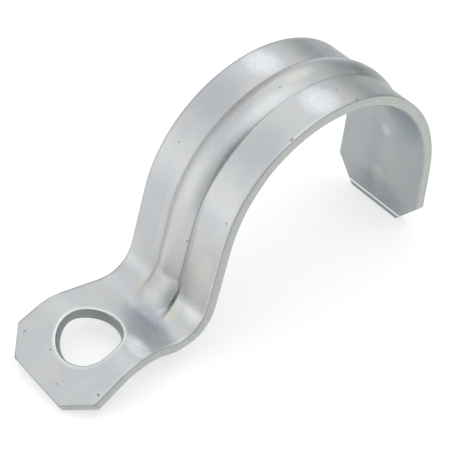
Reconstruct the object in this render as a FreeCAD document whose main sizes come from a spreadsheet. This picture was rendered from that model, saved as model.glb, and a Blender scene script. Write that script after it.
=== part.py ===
import FreeCAD, Part
from itertools import permutations
import math
import os
import Sketcher

# One-hole heavy-wall conduit strap: one strip of sheet steel, cut to a blank, stamped with a stiffening
# bead and folded into a foot, a leg, an arch over the pipe and a short tail that hooks behind it.
# Frame: the pipe's axis is the Y axis through the origin, the foot lies towards -X and +Z is away from
# the wall. The lowest corners of the toe end and of the tail end lie in one plane parallel to XY.

DRIVING = (
    ("pipe_radius", 30.2, "outside radius of the pipe that the arch fits"),
    ("gauge", 2.66, "thickness of the sheet"),
    ("band_width", 27.2, "width of the strip along the bead"),
    ("toe_width", 29.9, "width of the strip at the toe end"),
    ("tail_width", 28.1, "width of the strip at the tail end"),
    ("toe_flat", 14.4, "flat of the toe, up to the fold under the screw"),
    ("fold_radius", 4.4, "inside radius of the fold under the screw"),
    ("fold_angle", 34.7, "turn of that fold, degrees"),
    ("heel_flat", 10.7, "flat between the fold and the heel bend"),
    ("heel_radius", 7.6, "inside radius of the heel bend"),
    ("heel_angle", 83.8, "turn of the heel bend, degrees"),
    ("leg_flat", 16.1, "straight of the leg, up to the arch"),
    ("arch_angle", 169.7, "turn of the arch, degrees"),
    ("tail_flat", 17.0, "straight of the tail"),
    ("toe_cut_along", 5.9, "toe corner cut, along the strip"),
    ("toe_cut_across", 6.5, "toe corner cut, across the strip"),
    ("tail_cut_along", 6.7, "tail corner cut, along the strip"),
    ("tail_cut_across", 6.0, "tail corner cut, across the strip"),
    ("hole_radius", 7.4, "radius of the fixing hole"),
    ("hole_lead", 0.6, "hole axis from the middle of the fold, towards the toe"),
    ("bead_radius", 7.5, "radius of the bead's round back"),
    ("bead_height", 1.2, "height of the bead over the sheet"),
    ("bead_bend_radius", 11.0, "radius of the bead's crest where it runs out in the heel bend"),
    ("bead_bend_lead", 2.0, "start of that run-out, up the leg from the heel bend"),
    ("bead_bend_angle", 63.0, "turn of the crest until it has sunk into the heel bend, degrees"),
    ("bead_inset", 7.2, "centre of the bead's round end, from the tail end"),
    ("crease_radius", 0.8, "rounding between the bead and the sheet, outside"),
    ("lip_radius", 1.2, "rounding along the groove's lips, inside"),
    ("rim_radius", 0.6, "rounding of the fixing hole's rim on the screw's side"),
)
BEAD_ROOT = 0.4  # share of the gauge that the bead's root reaches down into the sheet
GROOVE_REACH = 0.25  # share of the groove's radius where the cut for it starts, in the air under the sheet
Y_AXIS = FreeCAD.Vector(0, 1, 0)

doc = FreeCAD.newDocument("conduit_strap")
sheet = doc.addObject("Spreadsheet::Sheet", "sizes")
v = {}
for row, (alias, number, note) in enumerate(DRIVING, start=1):
    sheet.set(f"A{row}", note)
    sheet.set(f"B{row}", str(number))
    sheet.setAlias(f"B{row}", alias)
    v[alias] = number
doc.recompute()

body = doc.addObject("PartDesign::Body", "strap")
body.Label = "strap"
origin_planes = {feature.Role: feature for feature in body.Origin.OriginFeatures}


def new_sketch(name, plane):
    """A sketch on one of the body's own origin planes."""
    sketch = body.newObject("Sketcher::SketchObject", name)
    sketch.AttachmentSupport = [(origin_planes[plane], "")]
    sketch.MapMode = "FlatFace"
    return sketch


def tilted_sketch(name, base_x, base_z, slope):
    """A sketch that stands square to the XZ plane, with its x axis from (base_x, base_z) up that slope."""
    sketch = new_sketch(name, "XY_Plane")
    sketch.AttachmentOffset = FreeCAD.Placement(FreeCAD.Vector(), FreeCAD.Rotation(Y_AXIS, -10))
    sketch.setExpression(".AttachmentOffset.Base.x", base_x)
    sketch.setExpression(".AttachmentOffset.Base.z", base_z)
    sketch.setExpression(".AttachmentOffset.Rotation.Angle", f"-({slope})")
    doc.recompute()
    return sketch


def number(expression):
    """What an expression of the sheet's cells and the sketches' measures comes to, as a plain number."""
    result = body.evalExpression(expression)
    return float(getattr(result, "Value", result))


def bind(sketch, kind, *places, size, name):
    """A driving constraint with a name, bound to an expression; an angle in radians is its last place."""
    start = () if kind == "Angle" else (number(size),)
    index = sketch.addConstraint(Sketcher.Constraint(kind, *places, *start))
    sketch.renameConstraint(index, name)
    sketch.setExpression(f"Constraints.{name}", size)


def measure(sketch, name, kind, *places):
    """A constraint that only measures, for other sketches to be placed by."""
    index = sketch.addConstraint(Sketcher.Constraint(kind, *places))
    sketch.setDriving(index, False)
    sketch.renameConstraint(index, name)


def along(point, heading, length):
    return FreeCAD.Vector(point.x + length * math.cos(heading), point.y + length * math.sin(heading), 0)


class Run:
    """A run of straights and tangent arcs in a sketch: its starts, headings, centres and geometry numbers."""

    def __init__(self, start, heading, steps):
        self.names = [step[0] for step in steps]
        self.steps = {name: (turn, size) for name, turn, size in steps}
        self.start, self.heading, self.centre, self.geometry = {}, {}, {}, {}
        point = start
        for name, turn, size in steps:
            self.start[name] = point
            self.heading[name] = heading
            if turn:
                side = math.copysign(math.pi / 2, turn)
                self.centre[name] = along(point, heading + side, size)
                heading += math.radians(turn)
                point = along(self.centre[name], heading - side, size)
            else:
                point = along(point, heading, size)
        self.end = point
        self.end_heading = heading

    def draw(self, sketch):
        """Adds the run to a sketch, each element tangent to the next, and each arc with its own radius."""
        for name in self.names:
            turn, size = self.steps[name]
            if turn:
                first = self.heading[name] - math.copysign(math.pi / 2, turn)
                last = first + math.radians(turn)
                circle = Part.Circle(self.centre[name], FreeCAD.Vector(0, 0, 1), size)
                element = Part.ArcOfCircle(circle, min(first, last), max(first, last))
            else:
                start = self.start[name]
                element = Part.LineSegment(start, along(start, self.heading[name], size))
            self.geometry[name] = sketch.addGeometry(element, False)
        for before, after in zip(self.names, self.names[1:]):
            sketch.addConstraint(Sketcher.Constraint("Tangent", *self.last(before), *self.first(after)))

    def first(self, name):
        """Geometry and point number where the run enters an element; an arc is stored anticlockwise."""
        return self.geometry[name], 2 if self.steps[name][0] < 0 else 1

    def last(self, name):
        return self.geometry[name], 1 if self.steps[name][0] < 0 else 2

    def middle(self, name):
        """Geometry number and point number of an arc's centre."""
        return self.geometry[name], 3


def strip_face(start, heading, depth):
    """One face of the strip seen from its side, that far below the top face, from the toe to the tail."""
    return Run(start, heading, (
        ("toe", 0, v["toe_flat"]),
        ("fold", -v["fold_angle"], v["fold_radius"] + v["gauge"] - depth),
        ("heel", 0, v["heel_flat"]),
        ("heel_bend", v["heel_angle"], v["heel_radius"] + depth),
        ("leg", 0, v["leg_flat"]),
        ("arch", -v["arch_angle"], v["pipe_radius"] + v["gauge"] - depth),
        ("tail", 0, v["tail_flat"]),
    ))


# Side view of the strip. It is laid out first with a level toe, then turned until the two end corners
# are level and moved until the arch is round the origin; the sketch's constraints say the same.
level = strip_face(FreeCAD.Vector(), 0, 0)
low_toe = FreeCAD.Vector(0, -v["gauge"], 0)
lie = -math.atan2(level.end.y - low_toe.y, level.end.x - low_toe.x)
turn_back = FreeCAD.Rotation(FreeCAD.Vector(0, 0, 1), math.degrees(lie))
toe_top = turn_back.multVec(level.start["toe"] - level.centre["arch"])
top = strip_face(toe_top, lie, 0)
under = strip_face(along(toe_top, lie - math.pi / 2, v["gauge"]), lie, v["gauge"])

side = new_sketch("strip_side", "XZ_Plane")
top.draw(side)
under.draw(side)
toe_end = side.addGeometry(Part.LineSegment(under.start["toe"], top.start["toe"]), False)
tail_end = side.addGeometry(Part.LineSegment(under.end, top.end), False)
for line, under_point, top_point, name in (
    (toe_end, under.first("toe"), top.first("toe"), "toe"),
    (tail_end, under.last("tail"), top.last("tail"), "tail"),
):
    side.addConstraint(Sketcher.Constraint("Coincident", line, 1, *under_point))
    side.addConstraint(Sketcher.Constraint("Coincident", line, 2, *top_point))
    side.addConstraint(Sketcher.Constraint("Perpendicular", line, top.geometry[name]))
    side.addConstraint(Sketcher.Constraint("Parallel", under.geometry[name], top.geometry[name]))
for name in ("fold", "heel_bend", "arch"):
    side.addConstraint(Sketcher.Constraint("Coincident", *top.middle(name), *under.middle(name)))
side.addConstraint(Sketcher.Constraint("Coincident", *top.middle("arch"), -1, 1))
side.addConstraint(Sketcher.Constraint("Horizontal", *under.first("toe"), *top.last("tail")))
for run, name, cells in (
    (top, "fold", "sizes.fold_radius + sizes.gauge"),
    (under, "fold", "sizes.fold_radius"),
    (top, "heel_bend", "sizes.heel_radius"),
    (under, "heel_bend", "sizes.heel_radius + sizes.gauge"),
    (top, "arch", "sizes.pipe_radius + sizes.gauge"),
    (under, "arch", "sizes.pipe_radius"),
):
    face = "top" if run is top else "under"
    bind(side, "Radius", run.geometry[name], size=cells, name=f"{face}_{name}_radius")
for name in ("toe", "heel", "leg", "tail"):
    bind(side, "Distance", top.geometry[name], size=f"sizes.{name}_flat", name=f"{name}_flat")
for first, second, cell in (
    ("heel", "toe", "fold_angle"), ("heel", "leg", "heel_angle"), ("tail", "leg", "arch_angle"),
):
    places = (top.geometry[first], top.geometry[second], top.heading[second] - top.heading[first])
    bind(side, "Angle", *places, size=f"sizes.{cell}", name=cell)
for name, place, at in (
    ("toe", top.first("toe"), top.start["toe"]),
    ("heel", top.first("heel_bend"), top.start["heel_bend"]),
    ("tail", top.last("tail"), top.end),
    ("fold", top.middle("fold"), top.centre["fold"]),
):
    measure(side, f"{name}_x", "DistanceX", -1, 1, *place, at.x)
    measure(side, f"{name}_z", "DistanceY", -1, 1, *place, at.y)
for name in ("toe", "leg", "tail"):
    measure(side, f"{name}_slope", "Angle", top.geometry[name], top.heading[name])
doc.recompute()

WIDEST = "max(sizes.toe_width; sizes.tail_width; sizes.band_width)"
CLEAR = f"({WIDEST} / 2 + sizes.gauge)"  # how far out the side cuts reach
DEEP = "4 * sizes.pipe_radius + 4 * sizes.leg_flat"  # a cut as long as this passes everything

strip = body.newObject("PartDesign::Pad", "strip")
strip.Profile = side
strip.SideType = "Symmetric"
strip.setExpression("Length", WIDEST)
doc.recompute()


def draw_outline(sketch, corners):
    """A closed outline of straight edges; each corner's name, x and y expressions bind it from the origin."""
    points = [FreeCAD.Vector(number(x), number(y), 0) for _, x, y in corners]
    lines = [
        sketch.addGeometry(Part.LineSegment(here, there), False)
        for here, there in zip(points, points[1:] + points[:1])
    ]
    for before, after in zip(lines, lines[1:] + lines[:1]):
        sketch.addConstraint(Sketcher.Constraint("Coincident", before, 2, after, 1))
    for line, (name, x, y) in zip(lines, corners):
        bind(sketch, "DistanceX", -1, 1, line, 1, size=x, name=f"{name}_x")
        bind(sketch, "DistanceY", -1, 1, line, 1, size=y, name=f"{name}_y")
    doc.recompute()


def cut(name, sketch, length, side_type="Symmetric"):
    """Cuts a sketch's outline out of the body, and makes sure that it took something away."""
    before = body.Shape.Volume
    feature = body.newObject("PartDesign::Pocket", name)
    feature.Profile = sketch
    feature.SideType = side_type
    feature.Reversed = side_type == "One side"
    feature.setExpression("Length", length)
    doc.recompute()
    if not body.Shape.Volume < before:
        raise RuntimeError(f"{name} cuts nothing")
    return feature


# The strip is widest at the toe and drawn in where the bead gathers it. Each cut is made on the +Y side
# and mirrored: the foot's edge in plan, and the tail's edge seen along the strip's length.
foot_plan = new_sketch("foot_plan", "XY_Plane")
draw_outline(foot_plan, (
    ("outside_toe", "strip_side.Constraints.toe_x - sizes.gauge * 1 mm", "sizes.toe_width / 2"),
    ("toe", "strip_side.Constraints.toe_x", "sizes.toe_width / 2"),
    ("heel", "strip_side.Constraints.heel_x", "sizes.band_width / 2"),
    ("crown", "0", "sizes.band_width / 2"),
    ("outside_crown", "0", CLEAR),
    ("outside", "strip_side.Constraints.toe_x - sizes.gauge * 1 mm", CLEAR),
))
foot_edge = cut("foot_edge", foot_plan, DEEP)

tail_front = new_sketch("tail_front", "YZ_Plane")
draw_outline(tail_front, (
    ("above", "sizes.band_width / 2", "sizes.pipe_radius + 2 * sizes.gauge"),
    ("axis", "sizes.band_width / 2", "0"),
    ("end", "sizes.tail_width / 2", "strip_side.Constraints.tail_z"),
    ("below", "sizes.tail_width / 2", "strip_side.Constraints.tail_z - sizes.gauge * 1 mm"),
    ("outside_below", CLEAR, "strip_side.Constraints.tail_z - sizes.gauge * 1 mm"),
    ("outside_above", CLEAR, "sizes.pipe_radius + 2 * sizes.gauge"),
))
tail_edge = cut("tail_edge", tail_front, DEEP, "One side")


def corner_cut(end, slope):
    """A straight cut across the strip's corner at the toe or the tail, square through the sheet."""
    flat = tilted_sketch(
        f"{end}_corner_flat", f"strip_side.Constraints.{end}_x", f"strip_side.Constraints.{end}_z", slope
    )
    across = f"sizes.{end}_width / 2 - sizes.{end}_cut_across"
    draw_outline(flat, (
        ("end", "0", across),
        ("edge", f"sizes.{end}_cut_along", f"sizes.{end}_width / 2"),
        ("outside_edge", f"sizes.{end}_cut_along", CLEAR),
        ("outside", "-sizes.gauge", CLEAR),
        ("outside_end", "-sizes.gauge", across),
    ))
    return cut(f"{end}_corner", flat, "4 * sizes.gauge")


corners = [
    corner_cut("toe", "strip_side.Constraints.toe_slope"),
    corner_cut("tail", "180 deg + strip_side.Constraints.tail_slope"),
]
other_side = body.newObject("PartDesign::Mirrored", "other_side")
other_side.Originals = [foot_edge, tail_edge, *corners]
other_side.MirrorPlane = (origin_planes["XZ_Plane"], [""])
body.Tip = other_side
doc.recompute()

# The bead is a ball-nosed groove pressed outwards. Its line is the path of the ball's centre: from the
# round end on the tail, round the arch, down the leg, and on a wider curve into the sheet at the heel.
track_radius = v["pipe_radius"] + v["gauge"] + v["bead_height"] - v["bead_radius"]
tail_length = v["tail_flat"] - v["bead_inset"]
beside_arch = along(FreeCAD.Vector(), top.end_heading + math.pi / 2, track_radius)
track = Run(along(beside_arch, top.end_heading, tail_length), top.end_heading + math.pi, (
    ("tail", 0, tail_length),
    ("arch", v["arch_angle"], track_radius),
    ("leg", 0, v["leg_flat"] - v["bead_bend_lead"]),
    ("run_out", -v["bead_bend_angle"], v["bead_bend_radius"] + v["bead_radius"]),
))
bead_line = new_sketch("bead_line", "XZ_Plane")
track.draw(bead_line)
bead_line.addConstraint(Sketcher.Constraint("Coincident", *track.middle("arch"), -1, 1))
for kind, name, size in (
    ("Radius", "arch", "sizes.pipe_radius + sizes.gauge + sizes.bead_height - sizes.bead_radius"),
    ("Radius", "run_out", "sizes.bead_bend_radius + sizes.bead_radius"),
    ("Distance", "tail", "sizes.tail_flat - sizes.bead_inset"),
    ("Distance", "leg", "sizes.leg_flat - sizes.bead_bend_lead"),
):
    bind(bead_line, kind, track.geometry[name], size=size, name=f"{name}_{kind.lower()}")
for name, turn, size in (
    ("tail", track.heading["tail"], "strip_side.Constraints.tail_slope + 180 deg"),
    ("leg", track.heading["leg"], "strip_side.Constraints.leg_slope + 180 deg"),
    ("run_out", math.radians(v["bead_bend_angle"]), "sizes.bead_bend_angle"),
):
    bind(bead_line, "Angle", track.geometry[name], turn, size=size, name=f"{name}_angle")
measure(bead_line, "start_x", "DistanceX", -1, 1, *track.first("tail"), track.start["tail"].x)
measure(bead_line, "start_z", "DistanceY", -1, 1, *track.first("tail"), track.start["tail"].y)
doc.recompute()


def bead_section(name):
    """A sketch square to the bead's line at its round end, with the x axis out through the crest."""
    return tilted_sketch(
        name, "bead_line.Constraints.start_x", "bead_line.Constraints.start_z",
        "strip_side.Constraints.tail_slope + 90 deg",
    )


def draw_cap(sketch, radius, flat, half):
    """The part of a disc beyond a chord, or its half on the y side, closed along the x axis."""
    reach = math.acos(number(flat) / number(radius))
    circle = Part.Circle(FreeCAD.Vector(), FreeCAD.Vector(0, 0, 1), number(radius))
    arc = sketch.addGeometry(Part.ArcOfCircle(circle, 0 if half else -reach, reach), False)
    tip = FreeCAD.Vector(number(radius) * math.cos(reach), number(radius) * math.sin(reach), 0)
    foot = FreeCAD.Vector(tip.x, 0 if half else -tip.y, 0)
    chord = sketch.addGeometry(Part.LineSegment(tip, foot), False)
    sketch.addConstraint(Sketcher.Constraint("Coincident", arc, 3, -1, 1))
    sketch.addConstraint(Sketcher.Constraint("Coincident", arc, 2, chord, 1))
    sketch.addConstraint(Sketcher.Constraint("Vertical", chord))
    bind(sketch, "Radius", arc, size=radius, name="radius")
    bind(sketch, "DistanceX", -1, 1, chord, 2, size=flat, name="chord")
    if half:
        crest = sketch.addGeometry(Part.LineSegment(foot, FreeCAD.Vector(number(radius), 0, 0)), False)
        sketch.addConstraint(Sketcher.Constraint("Coincident", crest, 1, chord, 2))
        sketch.addConstraint(Sketcher.Constraint("Coincident", crest, 2, arc, 1))
        sketch.addConstraint(Sketcher.Constraint("PointOnObject", crest, 1, -1))
        sketch.addConstraint(Sketcher.Constraint("Horizontal", crest))
    else:
        sketch.addConstraint(Sketcher.Constraint("Coincident", arc, 1, chord, 2))
    doc.recompute()


def checked(feature, name, grows):
    """Recomputes, and makes sure that a feature added or took away something."""
    before = body.Shape.Volume
    doc.recompute()
    if (body.Shape.Volume > before) != grows:
        raise RuntimeError(f"{name} changes nothing")
    return feature


def sweep(kind, name, section):
    """Carries a section along the bead's line."""
    feature = body.newObject(f"PartDesign::{kind}", name)
    feature.Profile = section
    feature.Spine = (bead_line, [])
    return checked(feature, name, kind == "AdditivePipe")


def spin(kind, name, section):
    """Turns a section about its own x axis."""
    feature = body.newObject(f"PartDesign::{kind}", name)
    feature.Profile = section
    feature.ReferenceAxis = (section, ["H_Axis"])
    feature.Angle = 360
    return checked(feature, name, kind == "Revolution")


BACK = "sizes.bead_radius"
ROOT = f"sizes.bead_radius - sizes.bead_height - {BEAD_ROOT} * sizes.gauge"
GROOVE = "sizes.bead_radius - sizes.gauge"
GROOVE_ROOT = f"{GROOVE_REACH} * (sizes.bead_radius - sizes.gauge)"
for swept, spun, name, radius, flat in (
    ("AdditivePipe", "Revolution", "bead", BACK, ROOT),
    ("SubtractivePipe", "Groove", "groove", GROOVE, GROOVE_ROOT),
):
    whole = bead_section(f"{name}_section")
    draw_cap(whole, radius, flat, half=False)
    sweep(swept, name, whole)
    quarter = bead_section(f"{name}_end_section")
    draw_cap(quarter, radius, flat, half=True)
    spin(spun, f"{name}_end", quarter)

hole_flat = tilted_sketch(
    "hole_flat", "strip_side.Constraints.fold_x", "strip_side.Constraints.fold_z",
    "strip_side.Constraints.toe_slope - sizes.fold_angle * 0.5 deg",
)
hole_circle = hole_flat.addGeometry(
    Part.Circle(FreeCAD.Vector(-v["hole_lead"], 0, 0), FreeCAD.Vector(0, 0, 1), v["hole_radius"]), False
)
hole_flat.addConstraint(Sketcher.Constraint("PointOnObject", hole_circle, 3, -1))
bind(hole_flat, "Radius", hole_circle, size="sizes.hole_radius", name="radius")
bind(hole_flat, "DistanceX", hole_circle, 3, -1, 1, size="sizes.hole_lead", name="lead")
doc.recompute()
cut("hole", hole_flat, "4 * (sizes.fold_radius + sizes.gauge)")


# The press and the punch leave a rounding between the bead and the sheet and at the hole's rim.
def is_sheet(face):
    """Whether a face is a flat or a fold of the strip: a plane, or a cylinder along Y."""
    surface = face.Surface
    if isinstance(surface, Part.Cylinder):
        return math.isclose(abs(surface.Axis.y), 1)
    return isinstance(surface, Part.Plane)


def is_hole(face):
    return isinstance(face.Surface, Part.Cylinder) and math.isclose(face.Surface.Radius, v["hole_radius"])


def outwards(point):
    """Away from the pipe on the arch, the leg and the tail, and away from the wall on the foot."""
    if point.x < -v["pipe_radius"] - v["gauge"]:
        return FreeCAD.Vector(-1, 0, 2)
    return FreeCAD.Vector(point.x, 0, point.z)


def faces_out(face, edge):
    """Whether a face of the sheet is on its outer side, going by the middle of one of its edges."""
    middle = edge.valueAt((edge.FirstParameter + edge.LastParameter) / 2)
    return face.normalAt(*face.Surface.parameter(middle)).dot(outwards(middle)) > 0


def round_edges(name, radius, picks):
    """Rounds each edge between a sheet face and another face, where picks(sheet_face, other, edge)."""
    base = body.Tip
    edges = []
    for index, edge in enumerate(base.Shape.Edges, start=1):
        for sheet_face, other in permutations(base.Shape.ancestorsOfType(edge, Part.Face), 2):
            if is_sheet(sheet_face) and not is_sheet(other) and picks(sheet_face, other, edge):
                edges.append(f"Edge{index}")
    feature = body.newObject("PartDesign::Fillet", name)
    feature.Base = (base, edges)
    feature.setExpression("Radius", radius)
    doc.recompute()
    return feature


def outer_crease(sheet_face, other, edge):
    return not is_hole(other) and faces_out(sheet_face, edge)


def inner_lip(sheet_face, other, edge):
    return not is_hole(other) and not faces_out(sheet_face, edge)


def screw_side_rim(sheet_face, other, edge):
    return is_hole(other) and faces_out(sheet_face, edge)


round_edges("bead_crease", "sizes.crease_radius", outer_crease)
round_edges("groove_lip", "sizes.lip_radius", inner_lip)
round_edges("hole_rim", "sizes.rim_radius", screw_side_rim)

for item in doc.Objects:
    if "Invalid" in item.State or "Error" in item.State:
        raise RuntimeError(f"{item.Name} failed: {item.State}")
if body.Shape.isNull() or not body.Shape.isValid():
    raise RuntimeError("the strap's shape is not valid")
print("strap:", round(body.Shape.Volume, 1), "cubic mm")
os.makedirs("parts", exist_ok=True)
body.Shape.exportStep("parts/strap.step")
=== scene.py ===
import math

import bpy
from mathutils import Matrix, Vector


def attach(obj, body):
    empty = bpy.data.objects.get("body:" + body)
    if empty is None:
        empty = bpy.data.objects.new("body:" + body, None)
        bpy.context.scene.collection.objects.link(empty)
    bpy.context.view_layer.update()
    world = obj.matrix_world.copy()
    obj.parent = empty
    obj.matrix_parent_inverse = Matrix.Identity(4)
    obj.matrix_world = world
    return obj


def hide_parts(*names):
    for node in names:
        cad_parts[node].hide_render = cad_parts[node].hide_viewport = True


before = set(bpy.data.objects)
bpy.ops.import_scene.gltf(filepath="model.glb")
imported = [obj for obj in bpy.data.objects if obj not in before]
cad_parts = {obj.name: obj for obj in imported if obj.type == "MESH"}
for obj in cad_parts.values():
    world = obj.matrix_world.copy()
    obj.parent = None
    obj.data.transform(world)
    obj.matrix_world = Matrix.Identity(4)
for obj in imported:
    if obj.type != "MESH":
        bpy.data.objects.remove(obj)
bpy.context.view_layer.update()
mm = 0.001


# a socket that takes part in sums
class Wire:
    def __init__(self, shader, socket):
        self.shader = shader
        self.socket = socket

    def __add__(self, other):
        return self.shader.math("ADD", self, other)

    def __sub__(self, other):
        return self.shader.math("SUBTRACT", self, other)

    def __rsub__(self, other):
        return self.shader.math("SUBTRACT", other, self)

    def __mul__(self, other):
        return self.shader.math("MULTIPLY", self, other)

    def __truediv__(self, other):
        return self.shader.math("DIVIDE", self, other)

    __radd__ = __add__
    __rmul__ = __mul__


# one material's node tree
class Shader:
    def __init__(self, owner):
        owner.use_nodes = True
        self.tree = owner.node_tree
        self.tree.nodes.clear()

    def node(self, kind, values=None, settings=None, out=0):
        made = self.tree.nodes.new(kind)
        for name, setting in (settings or {}).items():
            if name == "stops":
                ramp = made.color_ramp
                while len(ramp.elements) < len(setting):
                    ramp.elements.new(0.5)
                for element, (place, tone) in zip(ramp.elements, setting):
                    element.position = place
                    element.color = (*tone, 1) if isinstance(tone, tuple) else (tone, tone, tone, 1)
            else:
                setattr(made, name, setting)
        for place, value in (values or {}).items():
            if isinstance(value, Wire):
                self.tree.links.new(value.socket, made.inputs[place])
            else:
                made.inputs[place].default_value = value
        return Wire(self, made.outputs[out])

    def output(self, kind, surface):
        self.tree.links.new(surface.socket, self.tree.nodes.new(kind).inputs["Surface"])

    def math(self, operation, *terms):
        return self.node("ShaderNodeMath", dict(enumerate(terms)), {"operation": operation})

    def ramp(self, factor, *stops):
        return self.node("ShaderNodeValToRGB", {0: factor}, {"stops": stops})

    # how far a value has come from low to high, 0 to 1, with soft ends
    def step(self, value, low, high):
        values = {"Value": value, "From Min": low, "From Max": high}
        return self.node("ShaderNodeMapRange", values, {"interpolation_type": "SMOOTHSTEP"})

    def blend(self, factor, first, second, way="MIX"):
        settings = {"data_type": "RGBA", "blend_type": way}
        return self.node("ShaderNodeMix", {0: factor, 6: first, 7: second}, settings, out=2)

    def noise(self, place, scale, detail=2.0, roughness=0.5):
        return self.node(
            "ShaderNodeTexNoise", {"Vector": place, "Scale": scale, "Detail": detail, "Roughness": roughness}
        )


# the strap is a flat blank with its bead, folded along its side line

strap = {
    "gauge": 2.66,
    "width": 27.2,             # along the bead
    "toeWidth": 29.9,
    "tailWidth": 28.1,
    "toeFlat": 14.0,
    "foldRadius": 4.4,         # inside radii; angles in degrees
    "foldAngle": 34.7,
    "foldSkew": 7.0,           # the press left the fold a little askew
    "heelFlat": 10.7,
    "heelRadius": 7.6,
    "heelAngle": 83.8,
    "legFlat": 16.1,
    "pipeRadius": 30.2,
    "archAngle": 169.7,
    "tailFlat": 17.0,
    "bendEase": 2.2,           # the bends start and end gently over this length either way
    "knotGap": 1.5,
    "heelSlope": -9.151,
    "toeCut": (5.9, 6.5),      # along the strip, across it
    "tailCut": (6.7, 6.0),
    # the blank was sheared a little unevenly on one side: along, how much wider
    "unevenSide": (
        (17.0, 0.0), (24.5, -0.75), (30.5, 0.0), (36.0, 0.55), (42.0, 0.75),
        (60.0, 0.7), (70.0, 0.5), (80.0, 0.3), (100.0, 0.25), (118.0, 0.0),
    ),
    "tailLead": 3,             # the strip starts to widen this far before the arch ends
    "holeRadius": 7.3,
    "holeAlong": 15.2,         # from the toe end
    "holePatch": 9.5,          # half side of the square that is drawn round the hole
    "holeSquare": 0.87,        # half side of the cells that become the hole, as a share of its radius
    "ringGap": 0.8,            # rings of cells round the hole lie this much closer
    "beadRadius": 7.5,
    "beadHeight": 1.2,
    "beadCrease": 0.3,         # softness of the bead's edges
    "fullCrest": 0.8,          # under this height the bead's edges get crisper
    "creaseShadeReach": 0.5,          # the creases' painted shade reaches where the back is this near the sheet's level
    "beadFade": 13.0,          # length over which it melts into the heel bend
    "beadMelt": 0.9,           # softness at the end of that
    "beadNose": 9.5,           # its crest sinks into the sheet over this length
    "beadSpread": 0.12,        # and each side spreads by this for each mm
    "spreadAlong": 38.0,       # from here down
    "grooveRoll": 1.6,         # softness of the groove's edges inside
    "grooveNarrow": 1.1,       # the groove is drawn in by this
    "grooveFill": 0.65,        # the groove is shallow on the tail
    "fillFrom": (120, 12),     # where it gets shallow, and over what length
    "dimpleFrom": (154, 6),    # where its round end gets deeper again
    "dimple": 0.4,
    "beadInset": 7.2,          # centre of its round end, from the tail end
    "bendLead": 2.0,           # its run-out in the heel bend starts this far up the leg
    "bendRadius": 9.6,
    "edgeRow": 1.0,            # last row of cells along every edge
    "cell": 0.455,
    "rimRoll": 0.6,            # rounding at the top of the hole
    "shearRoll": 0.45,         # rounding under the blank's outline
    "burr": 0.1,               # the crisp side of a sheared edge
}

half = strap["gauge"] / 2
foldLength = math.radians(strap["foldAngle"]) * (strap["foldRadius"] + half)
steps = (
    (0, strap["toeFlat"]),
    (0, foldLength),
    (0, strap["heelFlat"]),
    (strap["heelAngle"], strap["heelRadius"] + half),
    (0, strap["legFlat"]),
    (-strap["archAngle"], strap["pipeRadius"] + half),
    (0, strap["tailFlat"]),
)
lengths = [size * math.radians(abs(turn)) if turn else size for turn, size in steps]
ends = [sum(lengths[: count + 1]) for count in range(len(lengths))]
toeEnd, foldEnd, heelEnd, bendEnd, legEnd, archEnd, tailEnd = ends


def ahead(slope):
    return Vector((math.cos(slope), 0, math.sin(slope)))


# the middle line's slope, each bend easing in and out
def slopeAt(along):
    total, samples = 0, 9
    for sample in range(samples):
        place = along + strap["bendEase"] * (2 * sample / (samples - 1) - 1)
        start = 0
        for (turn, size), end in zip(steps, ends):
            total += math.radians(turn) * min(1, max(0, (place - start) / (end - start)))
            start = end
    return math.radians(strap["heelSlope"]) + total / samples


# knots of the folded sheet's middle line, with the pipe's axis at nought
def sideLine():
    count = round(tailEnd / strap["knotGap"])
    gap = tailEnd / count
    fine = 8
    place = Vector()
    knots = [(place, slopeAt(0), gap / 3)]
    for knot in range(count):
        for part in range(fine):
            place = place + ahead(slopeAt((knot + (part + 0.5) / fine) * gap)) * gap / fine
        knots.append((place, slopeAt((knot + 1) * gap), gap / 3))
    crown, slope, reach = knots[round((legEnd + archEnd) / 2 / gap)]
    pipeAxis = crown + (strap["pipeRadius"] + half) * ahead(slope - math.pi / 2)
    return [(place - pipeAxis, slope, reach) for place, slope, reach in knots]


# bends the foot down from the heel, about a line across the flat blank
def foldFoot(x, y, z):
    skew, soft, angle = (math.radians(strap["foldSkew"]), strap["bendEase"], math.radians(strap["foldAngle"]))
    past = (foldEnd + soft - x) * math.cos(skew) - y * math.sin(skew)
    if past <= 0:
        return x, y, z
    pieces, far, drop = 12, 0, 0
    for piece in range(pieces):
        turn = angle * ease((piece + 0.5) / pieces * past / (foldLength + 2 * soft))
        far += math.cos(turn) * past / pieces
        drop += math.sin(turn) * past / pieces
    turn = angle * ease(past / (foldLength + 2 * soft))
    far += z * math.sin(turn)
    shift = past - far
    return x + shift * math.cos(skew), y + shift * math.sin(skew), z * math.cos(turn) - drop


# from the middle to the outline, on the side that the second value points to
def halfWidth(along, side):
    toe, band, tail = strap["toeWidth"] / 2, strap["width"] / 2, strap["tailWidth"] / 2
    wide = toe + (band - toe) * min(along / heelEnd, 1)
    widening = archEnd - strap["tailLead"]
    wide += (tail - band) * max(along - widening, 0) / (tailEnd - widening)
    for fromEnd, (cutAlong, cutAcross) in ((along, strap["toeCut"]), (tailEnd - along, strap["tailCut"])):
        if fromEnd < cutAlong:
            wide -= cutAcross * (1 - fromEnd / cutAlong)
    if side < 0:
        for (start, low), (end, high) in zip(strap["unevenSide"], strap["unevenSide"][1:]):
            if start <= along < end:
                wide += low + (high - low) * ease((along - start) / (end - start))
    return wide


# even stations from one place to another, without the last
def stations(start, end, cell):
    count = max(1, round((end - start) / cell))
    return [start + (end - start) * step / count for step in range(count)]


# from 0 to 1 with soft ends
def ease(share):
    share = min(1, max(0, share))
    return share * share * (3 - 2 * share)


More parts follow.
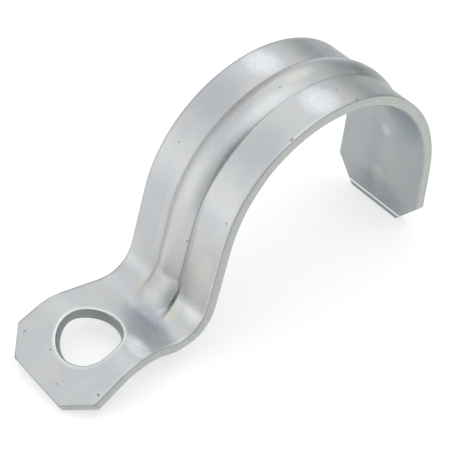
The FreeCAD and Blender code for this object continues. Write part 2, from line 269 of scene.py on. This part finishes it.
# height of the bead's crest over the sheet
def crestHeight(along):
    height, lead, bend, heel = strap["beadHeight"], strap["bendLead"], strap["bendRadius"], strap["heelRadius"]
    fromBend = along - bendEnd
    if fromBend >= lead:
        return height
    if fromBend >= 0:
        return height + bend - math.sqrt(bend ** 2 - (lead - fromBend) ** 2)
    turn = -fromBend / (heel + half)
    up = height + bend - heel
    middle = lead * math.sin(turn) + up * math.cos(turn)
    return heel + middle - math.sqrt(middle ** 2 + bend ** 2 - lead ** 2 - up ** 2)


# height of the bead's round back over the flat sheet, under nought beside it, and of its crest
def beadRise(along, across):
    radius = strap["beadRadius"] - half
    off = math.hypot(across, max(0, along - (tailEnd - strap["beadInset"])))
    crest = crestHeight(along) * ease((along - heelEnd) / strap["beadNose"])
    if crest < 0.01:
        return -radius, 0
    if along < strap["spreadAlong"]:
        top = crestHeight(strap["spreadAlong"])
        wide = math.sqrt(2 * radius * top - top ** 2) + strap["beadSpread"] * (strap["spreadAlong"] - along)
        radius = (wide ** 2 + crest ** 2) / 2 / crest
    if off >= radius:
        return -radius, crest
    return math.sqrt(radius ** 2 - off ** 2) - radius + crest, crest


# how far the bead lifts the sheet's middle surface
def beadLift(along, across, roll):
    rise, crest = beadRise(along, across)
    roll = max(roll * min(1, crest / strap["fullCrest"]), 0.01)
    near = max(roll - abs(rise), 0) / roll
    return max(rise, 0) + near ** 2 * roll / 4


def creaseRoll(along):
    fade = min(1, max(0, (bendEnd + strap["bendLead"] - along) / strap["beadFade"]))
    return strap["beadCrease"] + fade ** 2 * (strap["beadMelt"] - strap["beadCrease"])


def selectOnly(piece):
    bpy.ops.object.select_all(action="DESELECT")
    piece.select_set(True)
    bpy.context.view_layer.objects.active = piece


def applyModifier(piece, kind, **settings):
    modifier = piece.modifiers.new(kind.lower(), kind)
    for name, value in settings.items():
        setattr(modifier, name, value)
    selectOnly(piece)
    bpy.ops.object.modifier_apply(modifier=modifier.name)


# selects edges by a test on their two ends, then rounds them
def roundEdges(piece, width, segments, test):
    selectOnly(piece)
    bpy.ops.object.mode_set(mode="EDIT")
    bpy.ops.mesh.select_mode(type="EDGE")
    bpy.ops.mesh.select_all(action="DESELECT")
    bpy.ops.object.mode_set(mode="OBJECT")
    mesh = piece.data
    walls = set()
    for face in mesh.polygons:
        if abs(face.normal.z) < 0.3:
            walls.update(face.edge_keys)
    for edge in mesh.edges:
        first, second = (mesh.vertices[index].co / mm for index in edge.vertices)
        edge.select = edge.key in walls and abs(first.z - second.z) < half and test(first, second)
    bpy.ops.object.mode_set(mode="EDIT")
    bpy.ops.mesh.bevel(offset=width * mm, segments=segments, profile=0.5, clamp_overlap=False)
    bpy.ops.object.mode_set(mode="OBJECT")


def makeStrap():
    cell, row, patch = strap["cell"], strap["edgeRow"], strap["holePatch"]
    hole, tailCut = strap["holeAlong"], tailEnd - strap["tailCut"][0]
    along = [0, *stations(row, strap["toeCut"][0], cell), *stations(strap["toeCut"][0], hole, cell)]
    first = len(along)                      # the column through the hole's centre
    along += [*stations(hole, 2 * hole - strap["toeCut"][0], cell)]
    along += [*stations(2 * hole - strap["toeCut"][0], tailCut, cell), *stations(tailCut, tailEnd - row, cell)]
    along += [tailEnd - row, tailEnd]
    rows = 2 * round((strap["width"] / 2 - row) / cell) + 2
    inner = rows / 2 - 1

    bpy.ops.object.select_all(action="DESELECT")
    bpy.ops.mesh.primitive_grid_add(x_subdivisions=len(along) - 1, y_subdivisions=rows, size=1)
    blank = bpy.context.object
    blank.name = "strap_sheet"
    mesh = blank.data
    reach = round(patch / cell)
    ring = round(strap["holeSquare"] * strap["holeRadius"] / cell)   # the square of cells that becomes the hole
    for vertex in mesh.vertices:
        column = round((vertex.co.x + 0.5) * (len(along) - 1))
        line = round((vertex.co.y + 0.5) * rows) - rows / 2
        wide = halfWidth(along[column], line)
        across = line / inner * (wide - row) if abs(line) <= inner else math.copysign(wide, line)
        x, y = along[column] - hole, across
        square = max(abs(column - first), abs(line))
        if square < reach:
            share = ease((square - ring) / (reach - ring))
            past = max(0, square - ring)
            radius = strap["holeRadius"] * min(1, square / ring)
            radius += row + (past - 1) * cell * strap["ringGap"] if past else 0
            out = Vector((x, y)).normalized() * radius
            x, y = x * share + out.x * (1 - share), y * share + out.y * (1 - share)
        vertex.co = Vector((hole + x, y, 0)) * mm

    selectOnly(blank)
    bpy.ops.object.mode_set(mode="EDIT")
    bpy.ops.mesh.select_mode(type="FACE")
    bpy.ops.mesh.select_all(action="DESELECT")
    bpy.ops.object.mode_set(mode="OBJECT")
    for face in mesh.polygons:
        corners = (mesh.vertices[index].co / mm - Vector((hole, 0, 0)) for index in face.vertices)
        face.select = all(corner.length < strap["holeRadius"] + 0.01 for corner in corners)
    bpy.ops.object.mode_set(mode="EDIT")
    bpy.ops.mesh.delete(type="FACE")
    bpy.ops.object.mode_set(mode="OBJECT")
    crease = mesh.attributes.new("crease", "FLOAT", "POINT")
    for vertex in mesh.vertices:
        x, y = vertex.co.x / mm, vertex.co.y / mm
        vertex.co.z = beadLift(x, y, creaseRoll(x)) * mm
        rise, crest = beadRise(x, y)
        # nearness to the bead's creases, which sets their painted shade
        crease.data[vertex.index].value = max(0, 1 - abs(rise) / strap["creaseShadeReach"]) * min(1, crest)
    print("blank", len(mesh.polygons), "faces")

    for material in (zincPlate(), shearedEdge()):
        mesh.materials.append(material)
    applyModifier(
        blank, "SOLIDIFY", thickness=strap["gauge"] * mm, offset=0, use_even_offset=True,
        use_quality_normals=True, material_offset_rim=1,
    )

    (fillStart, fillLength), (dimpleStart, dimpleLength) = strap["fillFrom"], strap["dimpleFrom"]
    for vertex in mesh.vertices:
        x, y, z = vertex.co / mm
        if z < beadLift(x, y, 0):
            aside = y * strap["grooveNarrow"]
            z += beadLift(x, aside, strap["grooveRoll"]) - beadLift(x, aside, 0)
            fill = strap["grooveFill"] * ease((x - fillStart) / fillLength)
            fill *= 1 - strap["dimple"] * ease((x - dimpleStart) / dimpleLength)
            vertex.co.z = (z - fill * max(0, z + half)) * mm

    def atHole(first, second):
        return (first.xy - Vector((hole, 0))).length < strap["holeRadius"] + 0.05

    roundEdges(blank, strap["rimRoll"], 4, lambda first, second: atHole(first, second) and first.z > 0)
    roundEdges(blank, strap["burr"], 1, lambda first, second: atHole(first, second) and first.z < -half + 0.01)
    roundEdges(blank, strap["shearRoll"], 3, lambda first, second: not atHole(first, second) and first.z < 0)
    roundEdges(blank, strap["burr"], 1, lambda first, second: not atHole(first, second) and first.z > half - 0.01)

    mesh.attributes.new("flat", "FLOAT_VECTOR", "POINT")     # place on the flat blank
    mesh.attributes.new("edge", "FLOAT", "POINT")            # distance from its outline
    flat, edge = mesh.attributes["flat"], mesh.attributes["edge"]
    for vertex in mesh.vertices:
        x, y, z = vertex.co / mm
        edge.data[vertex.index].value = min(halfWidth(x, y) - abs(y), x, tailEnd - x)
        flat.data[vertex.index].vector = vertex.co / mm
        vertex.co = Vector(foldFoot(*vertex.co / mm)) * mm

    side = bpy.data.curves.new("side_line", "CURVE")
    side.dimensions = "3D"
    side.resolution_u = 12
    spline = side.splines.new("BEZIER")
    knots = sideLine()
    spline.bezier_points.add(len(knots) - 1)
    for index, (place, slope, reach) in enumerate(knots):
        point = spline.bezier_points[index]
        point.handle_left_type = point.handle_right_type = "FREE"
        point.co = place * mm
        point.handle_left = (place - ahead(slope) * reach) * mm
        point.handle_right = (place + ahead(slope) * reach) * mm
    path = bpy.data.objects.new("side_line", side)
    bpy.context.collection.objects.link(path)
    applyModifier(blank, "CURVE", object=path, deform_axis="POS_X")
    bpy.data.objects.remove(path)
    selectOnly(blank)
    bpy.ops.object.shade_smooth()
    applyModifier(blank, "WEIGHTED_NORMAL", keep_sharp=True, weight=50)
    print("strap folded", len(mesh.polygons), "faces")
    return blank


zinc = {
    "tone": (0.545, 0.548, 0.548),
    "coolTone": (0.495, 0.512, 0.545),
    "warmTone": (0.58, 0.555, 0.51),
    # dark tone of the painted crease shade, also used for the darker line along the outline
    "creaseTone": (0.22, 0.235, 0.23),
    "wornAndSheenTone": (0.68, 0.69, 0.69),
    "speckTone": (0.20, 0.20, 0.18),
    "insideShadeTone": (0.72, 0.75, 0.76),
    "tailEndShadeTone": (0.26, 0.28, 0.285),   # painted shade band along the tail's end, inside, beside a painted highlight line
    "glintTone": (0.90, 0.91, 0.91),
    "roughness": 0.35,
    "bump": 0.35,
    "bumpDepth": 0.00006,
    "cloudScale": 0.11,        # from large to small, to the mm
    "patchScale": 0.34,
    "mottleScale": 1.3,
    "grainScale": 5.5,
    # painted highlights and shade, with some tint: along, across, side (1 outside, -1 inside), half length, half
    # width, tone, strength
    "paintedLightAndTint": (
        (76.0, -3.9, 1, 9.0, 0.8, (0.18, 0.21, 0.22), 0.60),
        (121.0, 0.0, 1, 19.0, 50.0, (0.30, 0.325, 0.33), 0.85),
        (88.0, 2.8, 1, 13.0, 1.7, (0.36, 0.34, 0.28), 0.65),
        (60.0, 3.4, 1, 26.0, 1.8, (0.36, 0.36, 0.34), 0.60),
        (53.0, -4.6, 1, 16.0, 0.9, (0.34, 0.34, 0.32), 0.55),
        (53.0, 9.0, 1, 20.0, 7.0, (0.43, 0.455, 0.485), 0.60),
        (84.0, 8.5, 1, 8.0, 6.5, (0.40, 0.42, 0.45), 0.65),
        (82.0, -9.0, 1, 7.0, 6.0, (0.45, 0.46, 0.48), 0.50),
        (45.0, -10.8, 1, 11.0, 5.0, (0.80, 0.785, 0.74), 0.80),
        (38.5, -4.7, 1, 5.0, 0.5, (0.05, 0.06, 0.06), 0.90),
        (34.5, 5.2, 1, 4.5, 1.2, (0.66, 0.62, 0.52), 0.50),
        (34.5, -6.6, 1, 4.0, 2.0, (0.66, 0.62, 0.52), 0.50),
        (38.0, 0.6, 1, 5.5, 2.2, (0.50, 0.455, 0.42), 0.60),
        (50.0, 5.8, 1, 17.0, 1.2, (0.60, 0.56, 0.48), 0.45),
        (50.0, -7.2, 1, 9.0, 2.2, (0.66, 0.61, 0.56), 0.45),
        (26.5, -4.5, 1, 5.0, 9.0, (0.42, 0.445, 0.50), 0.65),
        (29.5, -4.0, 1, 3.0, 8.0, (0.34, 0.36, 0.41), 0.80),
        (21.3, -9.8, 1, 2.6, 6.0, (0.93, 0.94, 0.95), 0.95),
        (99.0, -0.6, 1, 4.8, 1.7, (0.74, 0.74, 0.64), 0.50),
        (96.5, 9.0, 1, 5.0, 6.0, (0.80, 0.80, 0.83), 0.75),
        (97.5, -9.0, 1, 5.0, 6.0, (0.80, 0.81, 0.83), 0.75),
        (162.0, 2.4, -1, 4.5, 2.4, (0.46, 0.42, 0.33), 0.55),
        (159.5, 0.4, -1, 3.6, 2.6, (0.74, 0.69, 0.70), 0.60),
        (144.9, -0.2, -1, 2.4, 1.9, (0.95, 0.95, 0.95), 0.45),
        (134.0, -8.0, -1, 12.0, 7.0, (0.30, 0.36, 0.38), 0.70),
        (164.5, -1.0, -1, 6.5, 12.0, (0.34, 0.37, 0.38), 0.70),
        (119.0, 0.0, 1, 7.0, 50.0, (0.17, 0.19, 0.19), 0.60),
        (38.8, 3.0, 1, 4.5, 4.5, (0.42, 0.40, 0.37), 0.45),
    ),
    # specks: along, across, half length, half width
    "specks": (
        (5.6, 11.8, 0.5, 0.25), (7.1, 3.5, 0.35, 0.3), (8.0, -13.2, 0.4, 0.5), (104.3, -13.2, 0.5, 0.5),
        (86.2, -13.2, 0.7, 0.4), (103.0, -8.3, 0.3, 0.3), (93.4, -0.9, 0.6, 0.2), (53.9, -3.6, 0.3, 0.3),
        (3.0, -4.0, 0.3, 0.3), (63.9, -12.4, 0.4, 0.3), (71.0, 9.5, 0.3, 0.3),
    ),
}


sheared = {
    "tone": (0.455, 0.475, 0.45),
    "darkTone": (0.34, 0.35, 0.34),
    "holeShadeTone": (0.25, 0.275, 0.265),
    "roughness": 0.48,
    "bump": 0.5,
    "bumpDepth": 0.00008,
    "tearScale": 2.2,
    "patchScale": 0.5,
    "grainScale": 5.0,
    "lineDepth": 0.55,         # the dark line where the shear broke through
    "lineWidth": 0.16,
}


def zincPlate():
    material = bpy.data.materials.new("zinc_plate")
    shader = Shader(material)
    flat = shader.node("ShaderNodeAttribute", settings={"attribute_name": "flat"}, out=1)
    crease = shader.node("ShaderNodeAttribute", settings={"attribute_name": "crease"}, out=2)
    edge = shader.node("ShaderNodeAttribute", settings={"attribute_name": "edge"}, out=2)
    along, across, depth = (shader.node("ShaderNodeSeparateXYZ", {0: flat}, out=part) for part in range(3))
    outside = shader.step(depth, -0.3, 0.3)

    def spot(place, side, long, wide):
        off, aside = (along - place) * (1 / long), (across - side) * (1 / wide)
        return 1 - shader.step(off * off + aside * aside, 0, 1)

    clouds = shader.noise(flat, zinc["cloudScale"], 4.0, 0.55)
    patches = shader.noise(flat, zinc["patchScale"], 4.0, 0.6)
    mottle = shader.noise(flat, zinc["mottleScale"], 3.0, 0.6)
    grain = shader.noise(flat, zinc["grainScale"], 2.0, 0.7)
    tone = shader.blend(shader.step(clouds, 0.40, 0.66) * 0.75, (*zinc["tone"], 1), (*zinc["coolTone"], 1))
    tone = shader.blend(shader.step(patches, 0.50, 0.72) * 0.65, tone, (*zinc["warmTone"], 1))
    ragged = shader.step(mottle, 0.25, 0.7)
    # each entry paints a patch of highlight, shade or tint over the tone
    for place, side, face, long, wide, tint, strength in zinc["paintedLightAndTint"]:
        mask = spot(place, side, long, wide) * (outside if face > 0 else 1 - outside)
        tone = shader.blend(mask * (0.6 + ragged * 0.4) * strength, tone, (*tint, 1))
    # painted shade in the bead's creases, most on one side and least over the crown
    nearSide = 1 - shader.step(across, -1.0, 1.0)
    farCreaseShade = 0.45 * shader.step(along, 34, 42) * (1 - nearSide)
    nearCreaseShade = 0.85 * (1 - shader.step(along, 84, 96) * 0.6) * nearSide
    creaseShadeAmount = farCreaseShade + nearCreaseShade
    tone = shader.blend(shader.step(crease, 0.15, 0.9) * outside * creaseShadeAmount, tone, (*zinc["creaseTone"], 1))
    hole = along - strap["holeAlong"]
    fromHole = shader.math("SQRT", hole * hole + across * across) - strap["holeRadius"]
    # a lighter, smoother ring round the hole: partly wear, partly a painted highlight on its rounded rim
    wornAndSheen = (1 - shader.step(fromHole, 0.6, 1.3)) * outside
    tone = shader.blend(wornAndSheen * 0.7, tone, (*zinc["wornAndSheenTone"], 1))
    # painted shade at the hole's edge
    tone = shader.blend((1 - shader.step(fromHole, 0.1, 0.4)) * 0.85, tone, (*sheared["holeShadeTone"], 1))
    marks = shader.step(shader.noise(flat, 0.9, 1.0, 0.3), 0.76, 0.79) * 0.25
    for place, side, long, wide in zinc["specks"]:
        marks = shader.math("MAXIMUM", marks, spot(place, side, long, wide) * outside)
    tone = shader.blend(marks * 0.75, tone, (*zinc["speckTone"], 1))
    # painted shade: the inside face is darker and cooler than the outside
    tone = shader.blend(1 - outside, tone, (*zinc["insideShadeTone"], 1), "MULTIPLY")
    # painted shade band and painted highlight line along the tail's rolled end, inside
    fromTail = tailEnd - along
    tailEndShade = (1 - shader.step(fromTail, 1.0, 1.2)) * (1 - outside)
    tailEndHighlight = shader.step(fromTail, 1.1, 1.3) * (1 - shader.step(fromTail, 1.5, 1.9)) * (1 - outside)
    rimLine = (1 - shader.step(edge, 0.12, 0.40)) * outside
    tone = shader.blend(tailEndShade * 0.75, tone, (*zinc["tailEndShadeTone"], 1))
    tone = shader.blend(tailEndHighlight * 0.9, tone, (*zinc["glintTone"], 1))
    tone = shader.blend(rimLine * 0.55, tone, (*zinc["creaseTone"], 1))
    tone = shader.blend(0.20, tone, shader.ramp(grain, (0.3, 0.0), (0.7, 1.0)), "SOFT_LIGHT")
    roughness = zinc["roughness"] + (patches - 0.5) * 0.14 + (grain - 0.5) * 0.10 + marks * 0.2 - wornAndSheen * 0.05
    height = grain * 0.35 + mottle * 0.5 + patches * 1.4 - marks * 0.8
    bump = shader.node("ShaderNodeBump", {
        "Strength": zinc["bump"], "Distance": zinc["bumpDepth"], "Height": height,
    })
    surface = shader.node("ShaderNodeBsdfPrincipled", {
        "Base Color": tone, "Metallic": 1.0, "Roughness": roughness, "Normal": bump,
    })
    shader.output("ShaderNodeOutputMaterial", surface)
    return material


def shearedEdge():
    material = bpy.data.materials.new("sheared_edge")
    shader = Shader(material)
    flat = shader.node("ShaderNodeAttribute", settings={"attribute_name": "flat"}, out=1)
    along, across, depth = (shader.node("ShaderNodeSeparateXYZ", {0: flat}, out=part) for part in range(3))
    stretched = shader.node("ShaderNodeVectorMath", {0: flat, 1: (1.0, 1.0, 0.25)}, {"operation": "MULTIPLY"})
    tears = shader.noise(stretched, sheared["tearScale"], 4.0, 0.65)
    patches = shader.noise(flat, sheared["patchScale"], 3.0, 0.6)
    grain = shader.noise(flat, sheared["grainScale"], 2.0, 0.7)
    tone = shader.blend(shader.step(patches, 0.35, 0.7) * 0.35, (*sheared["tone"], 1), (*zinc["warmTone"], 1))
    tone = shader.blend(shader.step(tears, 0.5, 0.8) * 0.3, tone, (*sheared["darkTone"], 1))
    line = shader.math("ABSOLUTE", depth - sheared["lineDepth"] + (tears - 0.5) * 0.5)
    line = 1 - shader.step(line, sheared["lineWidth"] * 0.3, sheared["lineWidth"] * 1.6)
    tone = shader.blend(line * 0.2, tone, (*sheared["darkTone"], 1))
    lips = shader.step(depth, 1.05, 1.2) * 0.7 + (1 - shader.step(depth, -1.15, -0.85)) * 0.7
    tone = shader.blend(lips, tone, (*sheared["darkTone"], 1))
    # painted shade on the hole's wall, darker than the other sheared walls
    hole = along - strap["holeAlong"]
    inHole = 1 - shader.step(shader.math("SQRT", hole * hole + across * across) - strap["holeRadius"], 0.3, 0.6)
    tone = shader.blend(inHole * 0.8, tone, (*sheared["holeShadeTone"], 1))
    roughness = sheared["roughness"] + (tears - 0.5) * 0.2
    height = tears * 1.2 + grain * 0.4 - line * 0.5
    bump = shader.node("ShaderNodeBump", {
        "Strength": sheared["bump"], "Distance": sheared["bumpDepth"], "Height": height,
    })
    surface = shader.node("ShaderNodeBsdfPrincipled", {
        "Base Color": tone, "Metallic": 1.0, "Roughness": roughness, "Normal": bump,
    })
    shader.output("ShaderNodeOutputMaterial", surface)
    return material


sheet = makeStrap()
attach(sheet, "root")
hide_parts("strap")


# floor, light and camera

studio = {
    "floorTone": (0.55, 0.55, 0.55),
    "floorGlow": 0.55,         # the sheet under the part is lit from below too
    "floorDrop": 0.05,         # under the part, mm
    "roomTone": (0.97, 0.99, 1.0),
    "roomLight": 0.945,
    # where the room is brighter or darker: azimuth, height, tightness, strength
    "glows": (
        (-90, 85, 8, 0.9),     # overhead
        (145, 0, 8, 0.6),      # low, behind the heel
        (55, 30, 12, 0.7),     # behind the crown
        (40, 0, 3, -0.6),      # behind the tail
        (-130, 45, 10, -0.7),  # by the camera
        (-155, 5, 15, -0.5),   # low, before the toe
    ),
    "cameraPlace": (-190.22, -205.12, 249.82),
    "cameraRight": (0.77824, -0.62773, 0.01718),
    "cameraDown": (-0.41941, -0.53994, -0.72977),
    "lens": 128.39,
}


def makeFloor():
    lowest = min(vertex.co.z for vertex in sheet.data.vertices) - studio["floorDrop"] * mm
    bpy.ops.object.select_all(action="DESELECT")
    bpy.ops.mesh.primitive_plane_add(size=4, location=(0, 0, lowest))
    floor = bpy.context.object
    floor.name = "floor"
    bpy.ops.object.transform_apply(location=True, rotation=True, scale=True)
    material = bpy.data.materials.new("pale_floor")
    shader = Shader(material)
    surface = shader.node("ShaderNodeBsdfPrincipled", {
        "Base Color": (*studio["floorTone"], 1), "Roughness": 0.9,
        "Emission Color": (1, 1, 1, 1), "Emission Strength": studio["floorGlow"],
    })
    shader.output("ShaderNodeOutputMaterial", surface)
    floor.data.materials.append(material)


def makeLight():
    world = bpy.data.worlds.new("soft_room")
    bpy.context.scene.world = world
    shader = Shader(world)
    way = shader.node("ShaderNodeTexCoord")
    light = studio["roomLight"]
    for azimuth, height, tightness, strength in studio["glows"]:
        azimuth, height = math.radians(azimuth), math.radians(height)
        level = math.cos(height)
        towards = (level * math.cos(azimuth), level * math.sin(azimuth), math.sin(height))
        facing = shader.node("ShaderNodeVectorMath", {0: way, 1: towards}, {"operation": "DOT_PRODUCT"}, out=1)
        light = light + strength * shader.math("EXPONENT", (facing - 1) * tightness)
    glow = shader.node("ShaderNodeBackground", {"Color": (*studio["roomTone"], 1), "Strength": light})
    shader.output("ShaderNodeOutputWorld", glow)


def makeCamera():
    right, down = Vector(studio["cameraRight"]), Vector(studio["cameraDown"])
    back = right.cross(-down).normalized()
    turn = Matrix((right, -down, back)).transposed().to_4x4()
    camera = bpy.data.cameras.new("camera")
    camera.lens = studio["lens"]
    camera.sensor_width = 36
    camera.clip_start = 0.01
    holder = bpy.data.objects.new("camera", camera)
    holder.matrix_world = Matrix.Translation(Vector(studio["cameraPlace"]) * mm) @ turn
    bpy.context.collection.objects.link(holder)
    bpy.context.scene.camera = holder


makeFloor()
makeLight()
makeCamera()
bpy.context.scene.view_settings.view_transform = "Standard"
print("studio ready")
